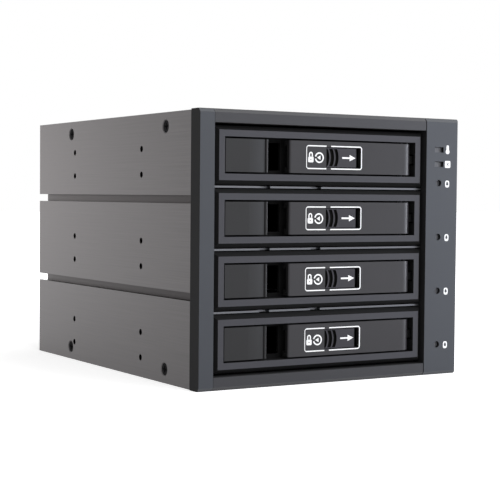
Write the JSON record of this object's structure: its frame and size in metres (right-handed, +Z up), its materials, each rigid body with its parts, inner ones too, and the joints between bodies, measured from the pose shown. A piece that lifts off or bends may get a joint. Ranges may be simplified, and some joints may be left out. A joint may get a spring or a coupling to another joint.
{
  "type": "hot swap drive cage",
  "caption": "Box-shaped drive cage for computer bays, with pull-out drive trays, hinged tray levers with sliding locks, a lamp panel and a rear fan.",
  "frame": {"origin": "under the middle of the whole cage, on the plane it stands on", "axes": "+X to the right seen from the front, +Y from the front to the rear, +Z up"},
  "size_m": [0.1486, 0.2014, 0.128],
  "materials": {
    "shell_steel": "fine brushed grey steel",
    "inner_steel": "zinc-plated sheet",
    "black_screw": "black oxide",
    "guide_plastic": "black moulded plastic",
    "bezel_plastic": "fine satin, blue-grey",
    "tray_plastic": "fine satin, grey",
    "insert_plastic": "fine satin, dark grey",
    "lever_plastic": "fine satin, grey",
    "lock_plastic": "fine satin, grey",
    "pin_steel": "ground steel",
    "light_pipe": "clear moulded plastic, unlit",
    "lamp_body": "white lamp bodies, unlit",
    "circuit_board": "green solder mask",
    "socket_plastic": "black moulded plastic",
    "inlet_plastic": "natural nylon",
    "fan_plastic": "black moulded plastic"
  },
  "bodies": {
    "cage": {"side_wall_left": "shell_steel", "side_wall_right": "shell_steel", "top_cover": "shell_steel", "bottom_plate": "shell_steel", "cover_screws": "black_screw", "inner_wall_left": "inner_steel", "lamp_channel_wall": "inner_steel", "guide_rails_left": "guide_plastic", "guide_rails_right": "guide_plastic", "shelf_1": "inner_steel", "shelf_2": "inner_steel", "shelf_3": "inner_steel", "left_pillar": "bezel_plastic", "top_rail": "bezel_plastic", "bottom_rail": "bezel_plastic", "lamp_panel": "bezel_plastic", "light_pipes": "light_pipe", "lamps": "lamp_body", "lamp_board": "circuit_board", "backplane_board": "circuit_board", "drive_socket_1": "socket_plastic", "drive_socket_2": "socket_plastic", "drive_socket_3": "socket_plastic", "drive_socket_4": "socket_plastic", "data_ports": "socket_plastic", "power_inlets": "inlet_plastic", "rear_panel": "shell_steel", "fan_frame": "fan_plastic", "fan_screws": "black_screw"},
    "tray_1": {"tray_1_carrier": "inner_steel", "tray_1_runners": "guide_plastic", "tray_1_face": "tray_plastic", "tray_1_blank": "insert_plastic", "tray_1_lever_pin": "pin_steel"},
    "lever_1": {"tray_1_lever": "lever_plastic"},
    "lock_1": {"tray_1_lock": "lock_plastic"},
    "tray_2": {"tray_2_carrier": "inner_steel", "tray_2_runners": "guide_plastic", "tray_2_face": "tray_plastic", "tray_2_blank": "insert_plastic", "tray_2_lever_pin": "pin_steel"},
    "lever_2": {"tray_2_lever": "lever_plastic"},
    "lock_2": {"tray_2_lock": "lock_plastic"},
    "tray_3": {"tray_3_carrier": "inner_steel", "tray_3_runners": "guide_plastic", "tray_3_face": "tray_plastic", "tray_3_blank": "insert_plastic", "tray_3_lever_pin": "pin_steel"},
    "lever_3": {"tray_3_lever": "lever_plastic"},
    "lock_3": {"tray_3_lock": "lock_plastic"},
    "tray_4": {"tray_4_carrier": "inner_steel", "tray_4_runners": "guide_plastic", "tray_4_face": "tray_plastic", "tray_4_blank": "insert_plastic", "tray_4_lever_pin": "pin_steel"},
    "lever_4": {"tray_4_lever": "lever_plastic"},
    "lock_4": {"tray_4_lock": "lock_plastic"},
    "fan_rotor": {"fan_rotor": "fan_plastic"}
  },
  "joints": [
    {"name": "tray_1_slide", "type": "slide", "parent": "cage", "child": "tray_1", "axis": [0, -1, 0], "range_m": [0, 0.165]},
    {"name": "lever_1_swing", "type": "hinge", "parent": "tray_1", "child": "lever_1", "pos_m": [0.0412, -0.09585, 0.0208], "axis": [0, 0, 1], "range_deg": [0, 65]},
    {"name": "lock_1_slide", "type": "slide", "parent": "lever_1", "child": "lock_1", "axis": [1, 0, 0], "range_m": [0, 0.0016], "stiffness_N_per_m": 400, "springref_m": -0.001},
    {"name": "tray_2_slide", "type": "slide", "parent": "cage", "child": "tray_2", "axis": [0, -1, 0], "range_m": [0, 0.165]},
    {"name": "lever_2_swing", "type": "hinge", "parent": "tray_2", "child": "lever_2", "pos_m": [0.0412, -0.09585, 0.0496], "axis": [0, 0, 1], "range_deg": [0, 65]},
    {"name": "lock_2_slide", "type": "slide", "parent": "lever_2", "child": "lock_2", "axis": [1, 0, 0], "range_m": [0, 0.0016], "stiffness_N_per_m": 400, "springref_m": -0.001},
    {"name": "tray_3_slide", "type": "slide", "parent": "cage", "child": "tray_3", "axis": [0, -1, 0], "range_m": [0, 0.165]},
    {"name": "lever_3_swing", "type": "hinge", "parent": "tray_3", "child": "lever_3", "pos_m": [0.0412, -0.09585, 0.0784], "axis": [0, 0, 1], "range_deg": [0, 65]},
    {"name": "lock_3_slide", "type": "slide", "parent": "lever_3", "child": "lock_3", "axis": [1, 0, 0], "range_m": [0, 0.0016], "stiffness_N_per_m": 400, "springref_m": -0.001},
    {"name": "tray_4_slide", "type": "slide", "parent": "cage", "child": "tray_4", "axis": [0, -1, 0], "range_m": [0, 0.165]},
    {"name": "lever_4_swing", "type": "hinge", "parent": "tray_4", "child": "lever_4", "pos_m": [0.0412, -0.09585, 0.1072], "axis": [0, 0, 1], "range_deg": [0, 65]},
    {"name": "lock_4_slide", "type": "slide", "parent": "lever_4", "child": "lock_4", "axis": [1, 0, 0], "range_m": [0, 0.0016], "stiffness_N_per_m": 400, "springref_m": -0.001},
    {"name": "fan_spin", "type": "hinge", "parent": "cage", "child": "fan_rotor", "pos_m": [-0.012, 0.08825, 0.064], "axis": [0, 1, 0], "continuous": true}
  ]
}
